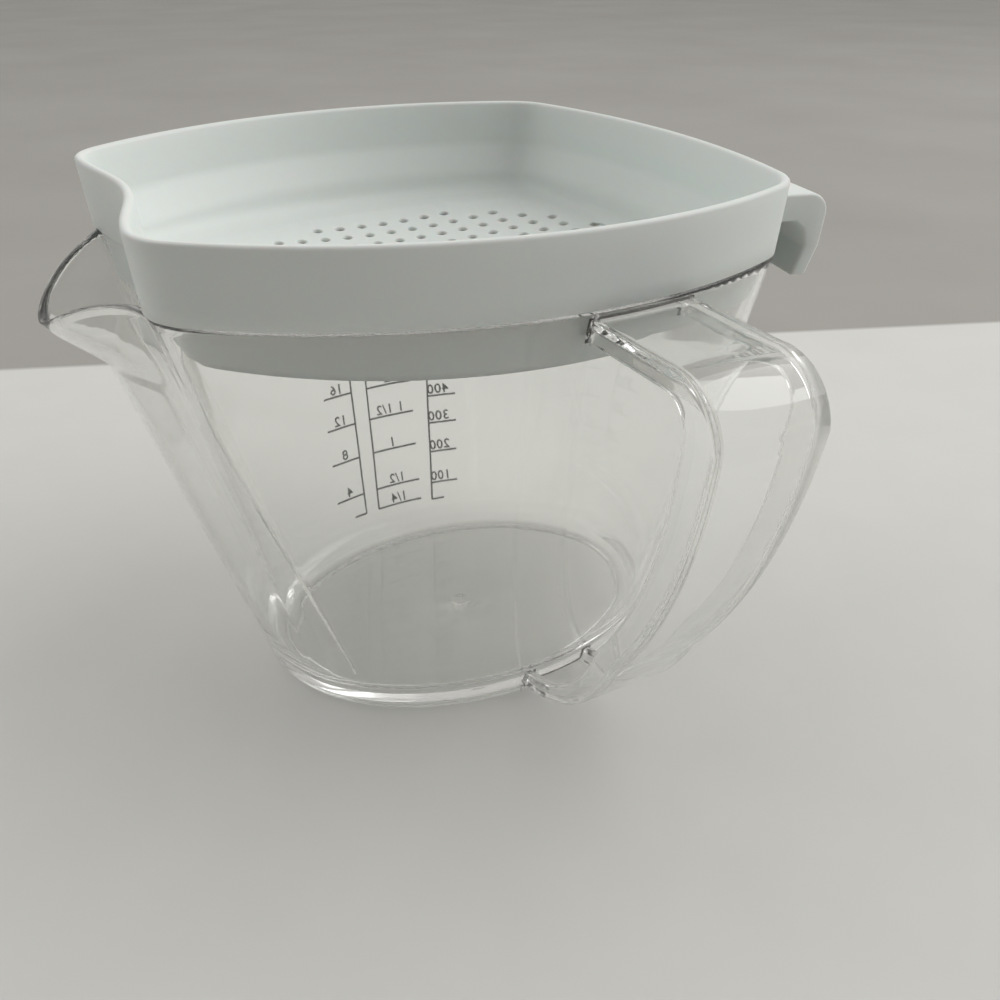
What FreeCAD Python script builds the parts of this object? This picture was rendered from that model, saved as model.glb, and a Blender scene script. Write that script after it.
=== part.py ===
import FreeCAD, Part
import math
import os

from FreeCAD import Vector

# A gravy fat separator: a clear oval jug with a pouring lip, a clear side handle
# bonded to it, a clear baffle that holds the fat back, and a white strainer tray.
# Millimetres. +Z is up. The origin is the middle of the base, on the table.
# The spout points to -X, the strainer's grip to +X and the handle to -Y.

# ---- jug: driving sizes ----
base_half_length = 60.0      # oval base, along X, outside
base_half_width = 46.0       # oval base, along Y, outside
jug_height = 126.0           # table to rim
wall = 2.4
floor_thickness = 2.8
recess_depth = 2.2           # hollow under the base, inside the foot ring
foot_ring_width = 4.4
outer_heel_radius = 3.2
inner_heel_radius = 7.0

# ---- jug: rim seen from above ----
spout_corner_x = -85.5
spout_corner_y = 44.5
grip_corner_x = 57.5
grip_corner_y = 63.5
side_bulge = 23.0            # sagitta of each long side
end_bulge = 10.0             # sagitta of the end that carries the grip
corner_radius = 7.0

# ---- pouring lip ----
throat_depth = 13.0          # how far the throat stands out past the spout corners
throat_half_width = 40.0
lip_flare = 9.5              # further outward turn of the lip
lip_flare_below_rim = 24.0   # the turn starts this far below the rim
lip_flare_height = 15.0      # and is done this much higher
lip_level_end_x = -88.0      # the rim is level up to here, then dips to the tip
lip_dip_x = -98.0
lip_dip = 3.7                # how far below the rim the lip is there
lip_tip_x = -106.0
lip_tip_dip = 11.6           # and how far at its tip

# ---- strainer tray ----
tray_height = 18.0           # skirt above the jug's rim
tray_draft = 1.7             # how much wider the skirt is at its top
tray_wall = 2.2
tray_fit = 0.5               # clearance between the basin and the jug's wall
throat_fit = 1.2             # further clearance from the jug's wall beside the throat
tray_seat = 0.15             # the skirt rests this close to the rim
notch_depth = 5.5            # hollow in the tray's end wall, at the spout
notch_end_x = -86.0
notch_step = 0.3             # below the rim the end wall steps in by this much
basin_depth = 18.5           # rim to the top of the floor at its lowest, in the middle
basin_floor_thickness = 2.0
basin_round = 3.5            # turn from the floor up into the wall
shoulder_below_rim = 4.0     # inside, the wall steps out to the skirt from here
shoulder_above_rim = 5.0     # up to here
dish_radius = 300.0          # the floor is a shallow dish
dish_middle_x = -4.0
hole_diameter = 2.6
hole_pitch = 7.1
hole_field_radius = 60.0

# ---- grip of the tray, a lip turned down over the jug's end ----
grip_half_width = 50.0
grip_reach = 20.8
grip_thickness = 5.2
grip_above_rim = 9.6
grip_below_rim = 12.0
grip_arm_thickness = 7.0
grip_round = 5.0
grip_lean = 4.0              # the grip's face leans in by this much at its bottom edge
grip_lean_height = 8.0
grip_draft = 1.0

# ---- fat baffle ----
baffle_thickness = 2.0
baffle_floor_gap = 9.0
baffle_tray_gap = 0.8
baffle_foot_x = -46.0
bond_gap = 0.12

# ---- handle ----
handle_x = 9.0
handle_top_width = 27.5
handle_foot_width = 22.0
handle_below_rim = 1.4       # top of the thumb plate
handle_plate_end_y = -104.0
handle_reach_y = -119.8
handle_turn = 12.6           # height of the turn from the thumb plate down into the strap
handle_belly_y = -111.8
handle_belly_z = 81.0
handle_knee_y = -89.7
handle_knee_z = 40.0
handle_shin_y = -70.5
handle_shin_z = 15.6
handle_foot_y = -35.0
handle_foot_z = 1.6
handle_depth = 10.0          # depth of the side flanges at the strap
handle_plate_depth = 5.5     # depth of the flanges under the thumb plate
handle_web = 2.8
handle_flange = 2.8
handle_root_y = -55.0        # the thumb plate starts here, inside the jug's wall

# ---- heights that follow from them ----
floor_top = recess_depth + floor_thickness
lip_flare_start = jug_height - lip_flare_below_rim
lip_flare_end = lip_flare_start + lip_flare_height
rest_z = jug_height + tray_seat
tray_top = jug_height + tray_height
basin_floor_z = jug_height - basin_depth
handle_top_z = jug_height - handle_below_rim
handle_reach_z = handle_top_z - handle_turn


def bump(y, half_width):
    """1 in the middle, falling smoothly to 0 at half_width on each side."""
    if abs(y) >= half_width:
        return 0.0
    return math.cos(math.pi * y / (2 * half_width)) ** 2


def smooth_step(value, start, end):
    """0 before start, 1 after end, with a smooth rise between them."""
    u = min(max((value - start) / (end - start), 0.0), 1.0)
    return u * u * (3 - 2 * u)


def bow(start, end, sagitta, count, clear):
    """Even points along a circular arc that bows outwards, to the right of its travel.

    The arc stops clear short of its two ends.
    """
    (x0, y0), (x1, y1) = start, end
    chord = math.hypot(x1 - x0, y1 - y0)
    radius = (chord ** 2 / 4 + sagitta ** 2) / (2 * sagitta)
    along = ((x1 - x0) / chord, (y1 - y0) / chord)
    outward = (along[1], -along[0])
    half = math.asin(chord / 2 / radius) - 2 * math.asin(clear / 2 / radius)
    points = []
    for i in range(count + 1):
        angle = half * (2 * i / count - 1)
        s = chord / 2 + radius * math.sin(angle)
        t = radius * math.cos(angle) - (radius - sagitta)
        points.append((x0 + along[0] * s + outward[0] * t, y0 + along[1] * s + outward[1] * t))
    return points


def round_corner(before, corner, after, count=4):
    """Points of a soft corner, between the last point before it and the first after it."""
    points = []
    for i in range(1, count):
        t = i / count
        a, b, c = (1 - t) ** 2, 2 * t * (1 - t), t * t
        points.append(tuple(a * before[k] + b * corner[k] + c * after[k] for k in (0, 1)))
    return points


def plan(end_shape):
    """The closed plan outline, seen from above, anticlockwise from the spout's middle.

    end_shape gives x at the spout end for each y.
    """
    spout = (end_shape(spout_corner_y), -spout_corner_y)
    grip = (grip_corner_x, -grip_corner_y)
    far = (grip_corner_x, grip_corner_y)
    steps = 7
    ys = [(corner_radius - spout_corner_y) * i / steps for i in range(steps + 1)]
    spout_end = [(end_shape(y), y) for y in ys]
    side = bow(spout, grip, side_bulge, 10, corner_radius)
    end = bow(grip, far, end_bulge, 6, corner_radius)[:4]
    half = spout_end + round_corner(spout_end[-1], spout, side[0]) + side
    half += round_corner(side[-1], grip, end[0]) + end
    return half + [(x, -y) for x, y in reversed(half[1:-1])]


def skin(bands):
    """A solid through rings of points stacked from the bottom up.

    Each band is a list of rings and starts on the last ring of the band before it.
    A band of two rings is ruled straight, a longer one is smooth. All rings take the
    mean spacing of the first and the last one's points, so they share their knots.
    """
    low, high = bands[0][-1], bands[-1][-1]
    spacing = [0.0]
    for i in range(len(low)):
        step = low[i].distanceToPoint(low[i - 1]) + high[i].distanceToPoint(high[i - 1])
        spacing.append(spacing[-1] + step / 2)
    spacing = spacing[1:] + [spacing[-1] + spacing[1]]
    panels, bottom, lid = [], [], []
    for sections in bands:
        rings = []
        for points in sections:
            ring = Part.BSplineCurve()
            ring.interpolate(points, PeriodicFlag=True, Parameters=spacing)
            rings.append(ring)
        rows = [ring.getPoles() for ring in rings]
        rises = [0.0]
        for lower, upper in zip(rows, rows[1:]):
            steps = [a.distanceToPoint(b) for a, b in zip(lower, upper)]
            rises.append(rises[-1] + sum(steps) / len(steps))
        columns = []
        for poles in zip(*rows):
            column = Part.BSplineCurve()
            column.interpolate(list(poles), Parameters=rises)
            columns.append(column.getPoles())
        surface = Part.BSplineSurface()
        surface.buildFromPolesMultsKnots(
            columns, rings[0].getMultiplicities(), column.getMultiplicities(),
            rings[0].getKnots(), column.getKnots(), True, False, rings[0].Degree, column.Degree)
        knots = surface.getUKnots()
        for start, end in zip(knots, knots[1:]):
            panel = surface.copy()
            panel.segment(start, end, rises[0], rises[-1])
            panels.append(panel.toShape())
            if sections is bands[0]:
                bottom.append(panel.vIso(rises[0]).toShape())
            if sections is bands[-1]:
                lid.append(panel.vIso(rises[-1]).toShape())
    shell = Part.makeShell(panels + [Part.Face(Part.Wire(edges)) for edges in (bottom, lid)])
    shell.sewShape()
    solid = Part.makeSolid(shell)
    if solid.Volume < 0:
        solid.reverse()
    return solid


def ring_at(outline, z):
    """The outline's points at the height z."""
    return [Vector(x, y, z) for x, y in outline]


def heel(radius, steps=(10, 36, 62, 90)):
    """(height, depth) pairs that round the bottom edge of a skin in short flats."""
    first = radius * (1 - math.cos(math.radians(steps[0])))
    return [(radius * (1 - math.cos(math.radians(a))) - first, radius * (1 - math.sin(math.radians(a))))
            for a in steps]


def prism_xz(points_face, y0, y1):
    """A face drawn in the XZ plane, stretched from y0 to y1."""
    moved = points_face.copy()
    moved.translate(Vector(0, y0, 0))
    return moved.extrude(Vector(0, y1 - y0, 0))


def face_of(edges):
    """A flat face bounded by edges given in order."""
    return Part.Face(Part.Wire(edges))


def line(a, b):
    return Part.LineSegment(a, b).toShape()


def arc(a, middle, b):
    return Part.Arc(a, middle, b).toShape()


# ---- jug ----

def throat(y):
    """x of the jug's wall at the rim, at the spout end."""
    return spout_corner_x - throat_depth * bump(y, throat_half_width)


def foot_angles(rim):
    """For each rim point, the base oval's angle that the wall runs down to.

    It is halfway between the angle where the oval faces as the rim does, so that
    the wall hardly twists, and an even walk round the oval, so that the points
    spread out under a corner. At the spout it is spread evenly over the width.
    """
    half = len(rim) // 2
    walked = [0.0]
    for a, b in zip(rim, rim[1:half + 1]):
        walked.append(walked[-1] + math.dist(a, b))
    angles = []
    for i in range(half + 1):
        (ax, ay), (bx, by) = rim[i - 1], rim[i + 1]
        facing = math.atan2(base_half_width * (ax - bx), base_half_length * (by - ay))
        even = math.pi * (walked[i] / walked[-1] - 1)
        angles.append((facing + even) / 2)
    edge = min(i for i in range(half) if rim[i][0] > spout_corner_x + corner_radius / 2)
    for i in range(edge):
        angles[i] = -math.pi + (math.pi + angles[edge]) * rim[i][1] / rim[edge][1]
    return angles + [-angle for angle in reversed(angles[1:half])]


def jug_outline(z, depth=0.0):
    """Plan of the jug's wall at the height z, depth inside its outer face."""
    rim = plan(throat)
    share = z / jug_height
    flare = lip_flare * smooth_step(z, lip_flare_start, lip_flare_end)
    outer, slopes = [], []
    for (x, y), angle in zip(rim, foot_angles(rim)):
        foot_x = base_half_length * math.cos(angle)
        foot_y = base_half_width * math.sin(angle)
        lip = bump(y, throat_half_width) if x < spout_corner_x / 2 else 0.0
        outer.append((foot_x + (x - foot_x) * share - flare * lip, foot_y + (y - foot_y) * share))
        lean = math.hypot(x - foot_x, y - foot_y) / jug_height
        rise = lip_flare * (smooth_step(z + 1, lip_flare_start, lip_flare_end)
                            - smooth_step(z - 1, lip_flare_start, lip_flare_end)) / 2
        slopes.append(lean + rise * lip)
    if depth == 0:
        return outer
    inner = []
    count = len(outer)
    for i, (x, y) in enumerate(outer):
        (ax, ay), (bx, by) = outer[i - 1], outer[(i + 1) % count]
        length = math.hypot(bx - ax, by - ay)
        shift = depth * math.sqrt(1 + slopes[i] ** 2)
        inner.append((x - (by - ay) / length * shift, y + (bx - ax) / length * shift))
    return inner


def jug_solid(bottom, depth, heel_radius):
    """The jug's outer form, or with a depth the space inside it, from bottom up."""
    rings = [ring_at(jug_outline(bottom + up, depth + inwards), bottom + up) for up, inwards in heel(heel_radius)]
    rings.append(ring_at(jug_outline(lip_flare_start, depth), lip_flare_start))
    heights = [lip_flare_start + (lip_flare_end - lip_flare_start) * i / 3 for i in range(4)] + [jug_height]
    lip_rings = [ring_at(jug_outline(z, depth), z) for z in heights]
    return skin(list(zip(rings, rings[1:])) + [lip_rings])


def lip_trim():
    """What is cut away above the pouring lip, where the rim dips to the tip."""
    level = Vector(lip_level_end_x, 0, jug_height)
    dip = Vector(lip_dip_x, 0, jug_height - lip_dip)
    tip = Vector(lip_tip_x, 0, jug_height - lip_tip_dip)
    beyond = tip + Vector(-20, 0, -20)
    above = Vector(lip_tip_x - 20, 0, jug_height + 10)
    back = Vector(lip_level_end_x, 0, jug_height + 10)
    edges = [arc(level, dip, tip), line(tip, beyond), line(beyond, above), line(above, back), line(back, level)]
    return prism_xz(face_of(edges), -throat_half_width, throat_half_width)


def make_jug():
    outer = jug_solid(0.0, 0.0, outer_heel_radius)
    inner = jug_solid(floor_top, wall, inner_heel_radius)
    oval = Part.Ellipse(Vector(0, 0, 0), base_half_length - foot_ring_width, base_half_width - foot_ring_width)
    recess = Part.Face(Part.Wire(oval.toShape())).extrude(Vector(0, 0, recess_depth))
    return outer.cut(inner).cut(recess).cut(lip_trim())


# ---- strainer tray ----

def notch(y):
    """x of the tray's end wall at the spout: a shallow hollow."""
    return notch_end_x + notch_depth * bump(y, throat_half_width)


def skirt_ring(z, depth=0.0):
    """The skirt's wall at the height z. It leans outwards up to its top edge."""
    shift = depth - tray_draft * (z - rest_z) / (tray_top - rest_z)
    rim = plan(notch)
    ring = []
    for i, (x, y) in enumerate(rim):
        (ax, ay), (bx, by) = rim[i - 1], rim[(i + 1) % len(rim)]
        length = math.hypot(bx - ax, by - ay)
        ring.append(Vector(x - (by - ay) / length * shift, y + (bx - ax) / length * shift, z))
    return ring


def basin_ring(heights, depth=0.0, share=1.0):
    """The basin's wall, each point at its own height, depth inside the outer face.

    It keeps clear of the jug's wall, and of the open throat at the spout. With a
    share it is drawn in towards the middle.
    """
    ring = []
    for i, z in enumerate(heights):
        x, y = jug_outline(z, wall + tray_fit + depth)[i]
        x = max(x + throat_fit * smooth_step(-x, -spout_corner_x / 2, -spout_corner_x), notch(y) + depth + notch_step)
        ring.append(Vector(x * share, y * share, z))
    return ring


dish_centre = Vector(dish_middle_x, 0, basin_floor_z + dish_radius)


def dish_rise(x, y):
    """How far the dished floor stands above its lowest point."""
    return dish_radius - math.sqrt(dish_radius ** 2 - (x - dish_middle_x) ** 2 - y ** 2)


def dish(depth=0.0):
    """The space above the dished floor, or above a face that lies depth under it."""
    return Part.makeSphere(dish_radius + depth, dish_centre, Vector(1, 0, 0))


def tub(depth, floor_depth, upper_rings):
    """The basin's outer or inner form: walls, a dished floor and a round turn between."""
    count = len(plan(notch))
    lowest_z = basin_floor_z - floor_depth
    half_length = (grip_corner_x - spout_corner_x) / 2
    edge = basin_ring([jug_height - tray_fit] * count, depth)
    rings = []
    for up, inwards in heel(basin_round):
        heights = [lowest_z + up + dish_rise(p.x, p.y) for p in edge]
        rings.append(basin_ring(heights, depth, 1 - inwards / half_length))
    below = [Vector(p.x, p.y, lowest_z - 1.0) for p in rings[0]]
    rings = [below] + rings + upper_rings
    return skin(list(zip(rings, rings[1:]))).common(dish(floor_depth))


def make_basin():
    """The part of the tray that hangs inside the jug, outside form."""
    count = len(plan(notch))
    return tub(0.0, basin_floor_thickness, [basin_ring([rest_z + 1.0] * count)])


def make_cavity():
    """The space inside the tray."""
    count = len(plan(notch))
    rings = [basin_ring([jug_height - shoulder_below_rim] * count, tray_wall)]
    rings += [skirt_ring(z, tray_wall) for z in (jug_height + shoulder_above_rim, tray_top + 1.0)]
    return tub(tray_wall, 0.0, rings)


def make_holes():
    """The strainer holes: a square grid in a round field, each square to the floor.

    Each is an eight-sided prism as wide as the round hole, so that the hundreds
    of them stay light.
    """
    corners = [Vector(hole_diameter / 2 * math.cos(angle), hole_diameter / 2 * math.sin(angle), 0)
               for angle in (math.pi * (k + 0.5) / 4 for k in range(9))]
    hole = Part.Face(Part.makePolygon(corners)).extrude(Vector(0, 0, -3 * basin_floor_thickness))
    reach = int(hole_field_radius / hole_pitch) + 1
    holes = []
    for i in range(-reach, reach + 1):
        for j in range(-reach, reach + 1):
            x, y = i * hole_pitch, (j + 0.5) * hole_pitch
            if math.hypot(x, y) < hole_field_radius:
                down = (Vector(x, y, basin_floor_z + dish_rise(x, y)) - dish_centre).normalize()
                start = dish_centre + down * (dish_radius - basin_floor_thickness)
                turn = FreeCAD.Rotation(Vector(0, 0, -1), down)
                holes.append(hole.transformed(FreeCAD.Placement(start, turn).toMatrix()))
    return Part.makeCompound(holes)


def make_grip():
    """The turned-down lip at the tray's far end, revolved along the end's bow."""
    bow_radius = (grip_corner_y ** 2 + end_bulge ** 2) / (2 * end_bulge)
    wall_x = grip_corner_x + end_bulge
    middle = Vector(wall_x - bow_radius, 0, 0)
    root = wall_x - tray_wall / 2
    tip = wall_x + grip_reach
    inner = tip - grip_thickness
    top = jug_height + grip_above_rim
    bottom = jug_height - grip_below_rim
    knee = bottom + grip_lean_height
    under = top - grip_arm_thickness
    corners = [(root, top), (tip - grip_round, top), (tip, top - grip_round),
               (tip - grip_draft, knee), (tip - grip_lean, bottom),
               (inner + grip_draft - grip_lean, bottom), (inner, knee),
               (inner - grip_draft, under - 2 * grip_draft), (root, under)]
    points = [Vector(x, 0, z) for x, z in corners]
    bend = (points[1] + points[2]) * 0.5 + Vector(1, 0, 1) * grip_round * 0.2
    edges = [line(points[0], points[1]), arc(points[1], bend, points[2])]
    for i in range(2, len(points)):
        edges.append(line(points[i], points[(i + 1) % len(points)]))
    half_angle = math.degrees(math.asin(grip_half_width / (bow_radius + grip_reach / 2)))
    section = face_of(edges)
    section.rotate(middle, Vector(0, 0, 1), -half_angle)
    return section.revolve(middle, Vector(0, 0, 1), 2 * half_angle)


def make_strainer():
    skirt = skin([[skirt_ring(z) for z in (rest_z, tray_top)]])
    tray = skirt.fuse([make_basin(), make_grip()])
    return tray.cut(make_cavity()).cut(make_holes())


# ---- fat baffle ----

def make_baffle():
    """A leaning, slightly hollow wall across the jug, open at its foot."""
    under_tray_x = notch_end_x + notch_depth + 3 * baffle_thickness
    top_z = basin_floor_z - basin_floor_thickness + dish_rise(under_tray_x, 0) - baffle_tray_gap
    foot_z = floor_top + baffle_floor_gap
    top_x = notch_end_x + 1.5
    reach = grip_corner_y + side_bulge
    wires = []
    for z, x in ((foot_z, baffle_foot_x), (top_z, top_x)):
        hollow = notch_depth * (z - foot_z) / (top_z - foot_z) + 0.5
        ends = [Vector(x, -reach, z), Vector(x + hollow, 0, z), Vector(x, reach, z)]
        back = [v + Vector(baffle_thickness, 0, 0) for v in ends]
        wires.append(Part.Wire([arc(*ends), line(ends[2], back[2]), arc(back[2], back[1], back[0]),
                                line(back[0], ends[0])]))
    slab = Part.makeLoft(wires, True, True)
    return slab.common(jug_solid(floor_top, wall + bond_gap, inner_heel_radius))


# ---- handle ----

def yz(y, z):
    return Vector(0, y, z)


def handle_curve(depth, plate_depth):
    """Edges of the handle's side view, depth inside its outer line."""
    plate_end = yz(handle_plate_end_y, handle_top_z - plate_depth)
    reach = yz(handle_reach_y + depth, handle_reach_z)
    bend = yz(handle_plate_end_y + 0.72 * (handle_reach_y + depth - handle_plate_end_y),
              handle_reach_z + 0.72 * (plate_end.z - handle_reach_z))
    taper = 0.85
    belly = yz(handle_belly_y + depth * taper, handle_belly_z)
    knee = yz(handle_knee_y + depth * 0.6, handle_knee_z + depth * 0.35)
    shin = yz(handle_shin_y + depth * 0.3, handle_shin_z + depth * 0.45)
    foot = yz(handle_foot_y, handle_foot_z + depth * 0.5)
    start = yz(handle_root_y, handle_top_z - plate_depth)
    return [line(start, plate_end), arc(plate_end, bend, reach), arc(reach, belly, knee),
            arc(knee, shin, foot)], start, foot


def handle_block(depth, plate_depth, inner_depth, inner_plate_depth, side_inset):
    """A solid between two lines of the side view, across the handle's width."""
    outer, outer_start, outer_foot = handle_curve(depth, plate_depth)
    inner, inner_start, inner_foot = handle_curve(inner_depth, inner_plate_depth)
    edges = outer + [line(outer_foot, inner_foot)] + inner[::-1] + [line(inner_start, outer_start)]
    face = Part.Face(Part.Wire(Part.__sortEdges__(edges)))
    width = handle_top_width
    face.translate(Vector(handle_x - width / 2, 0, 0))
    block = face.extrude(Vector(width, 0, 0))
    top, foot = handle_top_width / 2 - side_inset, handle_foot_width / 2 - side_inset
    front = [Vector(handle_x - foot, -200, -5), Vector(handle_x + foot, -200, -5),
             Vector(handle_x + top, -200, handle_reach_z), Vector(handle_x + top, -200, handle_top_z + 5),
             Vector(handle_x - top, -200, handle_top_z + 5), Vector(handle_x - top, -200, handle_reach_z)]
    outline = Part.Face(Part.makePolygon(front + front[:1]))
    return block.common(outline.extrude(Vector(0, 200, 0)))


def make_handle():
    strap = handle_block(0.0, 0.0, handle_depth, handle_plate_depth, 0.0)
    channel = handle_block(handle_web, handle_web, handle_depth + 4, handle_plate_depth + 4, handle_flange)
    return strap.cut(channel).cut(jug_solid(0.0, -bond_gap, outer_heel_radius))


os.makedirs("parts", exist_ok=True)
makers = {"jug": make_jug, "handle": make_handle, "fat_baffle": make_baffle, "strainer": make_strainer}
for name, make in makers.items():
    piece = make()
    piece.exportStep("parts/%s.step" % name)
    print(name, "valid" if piece.isValid() else "not valid", len(piece.Solids), "solid", round(piece.Volume), "mm3")
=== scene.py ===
# %% [markdown]
# # A gravy fat separator, dressed piece by piece
#
# A fat separator is a clear jug whose pouring lip draws from the bottom, so the stock
# leaves and the fat stays. A clear baffle inside keeps the fat back, a clear handle is
# bonded to one side, and a white strainer tray sits in the top. This lesson builds each
# of them with bmesh. First the working model is loaded: its pieces give the real sizes
# and the joints. Each main piece made here takes the place of one of them, and the printed
# scale and the glue are added to the jug.

# %% Load the working model
import functools
import math
import random

import bmesh
import bpy
from mathutils import Matrix, Vector


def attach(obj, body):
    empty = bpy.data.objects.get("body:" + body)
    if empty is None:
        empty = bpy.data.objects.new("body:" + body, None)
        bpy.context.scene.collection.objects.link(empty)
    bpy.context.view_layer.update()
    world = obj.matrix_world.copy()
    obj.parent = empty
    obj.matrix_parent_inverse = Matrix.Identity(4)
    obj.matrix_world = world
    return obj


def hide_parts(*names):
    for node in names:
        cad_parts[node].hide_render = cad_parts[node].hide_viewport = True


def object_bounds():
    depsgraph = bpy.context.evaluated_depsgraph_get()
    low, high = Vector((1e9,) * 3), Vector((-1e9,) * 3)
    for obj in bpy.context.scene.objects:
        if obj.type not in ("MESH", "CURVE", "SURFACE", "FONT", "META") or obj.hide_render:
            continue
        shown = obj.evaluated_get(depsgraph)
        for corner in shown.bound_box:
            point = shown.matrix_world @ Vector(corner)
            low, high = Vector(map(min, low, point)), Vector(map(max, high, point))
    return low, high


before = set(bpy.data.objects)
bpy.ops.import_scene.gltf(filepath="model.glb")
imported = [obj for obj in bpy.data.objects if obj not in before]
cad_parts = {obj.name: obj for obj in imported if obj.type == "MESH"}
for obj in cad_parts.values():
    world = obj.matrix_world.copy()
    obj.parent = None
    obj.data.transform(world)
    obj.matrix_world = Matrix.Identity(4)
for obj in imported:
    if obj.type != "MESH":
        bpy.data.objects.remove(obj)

cad_bounds = [[round(c, 5) for c in corner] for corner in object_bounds()]
print("pieces to dress:", ", ".join(sorted(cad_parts)), "in", cad_bounds)

# %% [markdown]
# ## Sizes
#
# Blender works in metres, but a maker thinks in millimetres. So every size of the object is
# in millimetres and is multiplied by MM once, when a mesh is finished, and only the stage
# round it is laid out in metres. The origin is the middle of the base, the spout points to
# -X, the tray's grip to +X and the handle to -Y.

# %% Driving sizes, in millimetres
MM = 0.001

base_half_length, base_half_width = 60.0, 46.0
jug_height = 126.0
wall = 2.4
floor_top = 5.0
recess_depth = 2.2
foot_ring_width = 4.4
outer_heel, inner_heel = 3.2, 7.0

spout_corner = (-85.5, -44.5)      # rim corners, on the handle's side
grip_corner = (57.5, -63.5)
side_bulge, end_bulge = 23.0, 10.0
corner_radius = 7.0

throat_depth, throat_half_width = 13.0, 40.0
lip_flare, flare_start, flare_end = 9.5, 102.0, 117.0
lip_points = ((-88.0, 126.0), (-98.0, 122.3), (-106.0, 114.4))   # the dipping rim, from the side

tray_height, tray_draft, tray_wall = 18.0, 1.7, 2.2
rest_gap = 0.15                    # the tray's seat stands this much over the rim
rest_z = jug_height + rest_gap
tray_top = jug_height + tray_height
notch_end_x, notch_depth, notch_step = -86.0, 5.5, 0.3
floor_z, floor_thickness = 108.4, 2.0
outer_floor_turn, inner_floor_turn = 1.6, 3.5
shoulder_start, shoulder_end = 122.0, 131.0
dish_radius, dish_middle_x = 400.0, -4.0
tray_fit, throat_fit = 0.5, 1.2
bond_gap = 0.12
print("the tray stands", tray_top, "mm above the table")

# %% [markdown]
# ## The plan outline
#
# Seen from above, the rim is a rounded four-sided shape: two long sides and one end that
# bow out along circular arcs, tight corners, and a spout end of its own shape. It could
# be drawn as a curve object, but a function that returns a list of points is easier to
# reuse: the jug, the tray and the baffle all take their outlines from the same one.

# %% Smooth steps, arcs and soft corners
def bump(y, half_width):
    """1 in the middle, falling smoothly to 0 at half_width on each side."""
    return math.cos(math.pi * y / (2 * half_width)) ** 2 if abs(y) < half_width else 0.0


def smooth_step(value, start, end):
    """0 before start, 1 after end, with a smooth rise between them."""
    u = min(max((value - start) / (end - start), 0.0), 1.0)
    return u * u * (3 - 2 * u)


def bow(start, end, sagitta, count, clear):
    """Points of an arc that bows to the right of its travel, stopping clear short of each end."""
    start, end = Vector(start), Vector(end)
    chord = (end - start).length
    radius = (chord ** 2 / 4 + sagitta ** 2) / (2 * sagitta)
    along = (end - start) / chord
    outward = Vector((along.y, -along.x))
    half = math.asin(chord / 2 / radius) - 2 * math.asin(clear / 2 / radius)
    points = []
    for i in range(count + 1):
        angle = half * (2 * i / count - 1)
        out = radius * math.cos(angle) - radius + sagitta
        points.append(start + along * (chord / 2 + radius * math.sin(angle)) + outward * out)
    return points


def soft_corner(before, corner, after, count):
    """Points of a soft corner, between the last point before it and the first after it."""
    points = []
    for i in range(1, count):
        t = i / count
        points.append(before * (1 - t) ** 2 + Vector(corner) * 2 * t * (1 - t) + after * t * t)
    return points


print("halfway along, a smooth step is at", smooth_step(0.5, 0, 1))

# %% The outlines of the jug's rim and of the tray
SPOUT_STEPS, CORNER_STEPS, SIDE_STEPS, END_STEPS = 18, 8, 34, 24


def plan(end_shape):
    """The closed outline, anticlockwise from the spout's middle. end_shape gives x for each y."""
    spout = Vector((end_shape(spout_corner[1]), spout_corner[1]))
    grip = Vector(grip_corner)
    far = Vector((grip.x, -grip.y))
    ys = [(spout.y + corner_radius) * i / SPOUT_STEPS for i in range(SPOUT_STEPS + 1)]
    half = [Vector((end_shape(y), y)) for y in ys]
    side = bow(spout, grip, side_bulge, SIDE_STEPS, corner_radius)
    end = bow(grip, far, end_bulge, END_STEPS, corner_radius)[:END_STEPS // 2 + 1]
    half += soft_corner(half[-1], spout, side[0], CORNER_STEPS) + side
    half += soft_corner(side[-1], grip, end[0], CORNER_STEPS) + end
    return half + [Vector((p.x, -p.y)) for p in reversed(half[1:-1])]


def throat(y):
    """x of the jug's rim at the spout."""
    return spout_corner[0] - throat_depth * bump(y, throat_half_width)


def notch(y):
    """x of the tray's end wall at the spout, a shallow hollow."""
    return notch_end_x + notch_depth * bump(y, throat_half_width)


jug_rim, tray_rim = plan(throat), plan(notch)
COUNT = len(jug_rim)
print("an outline has", COUNT, "points")

# %% [markdown]
# ## The jug's wall
#
# The wall runs from an oval base up to the rim's outline. Each point of the rim is paired
# with an angle on the oval, and the wall is the straight line between them, with an extra
# outward turn at the lip. For an inner face the outline is moved inwards along its own
# normal, and a little more where the wall leans, so the plastic is equally thick all over.

# %% Where the wall of each rim point stands on the oval
def foot_angles(rim):
    """For each rim point, the base oval's angle that the wall runs down to."""
    half = len(rim) // 2
    walked = [0.0]
    for a, b in zip(rim, rim[1:half + 1]):
        walked.append(walked[-1] + (b - a).length)
    angles = []
    for i in range(half + 1):
        along = rim[i + 1] - rim[i - 1]
        facing = math.atan2(-base_half_width * along.x, base_half_length * along.y)
        angles.append((facing + math.pi * (walked[i] / walked[-1] - 1)) / 2)
    edge = min(i for i in range(half) if rim[i].x > spout_corner[0] + corner_radius / 2)
    for i in range(edge):
        angles[i] = -math.pi + (math.pi + angles[edge]) * rim[i].y / rim[edge].y
    return angles + [-angle for angle in reversed(angles[1:half])]


rim_angles = foot_angles(jug_rim)
print("the wall runs down to", len(rim_angles), "angles of the oval")

# %% Wall points at any height and depth
def outer_point(i, z):
    """Point i of the jug's outer face, at the height z."""
    rim, angle = jug_rim[i % COUNT], rim_angles[i % COUNT]
    foot = Vector((base_half_length * math.cos(angle), base_half_width * math.sin(angle)))
    lip = bump(rim.y, throat_half_width) if rim.x < spout_corner[0] / 2 else 0.0
    out = lip_flare * smooth_step(z, flare_start, flare_end) * lip
    return foot + (rim - foot) * (z / jug_height) - Vector((out, 0.0))


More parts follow.
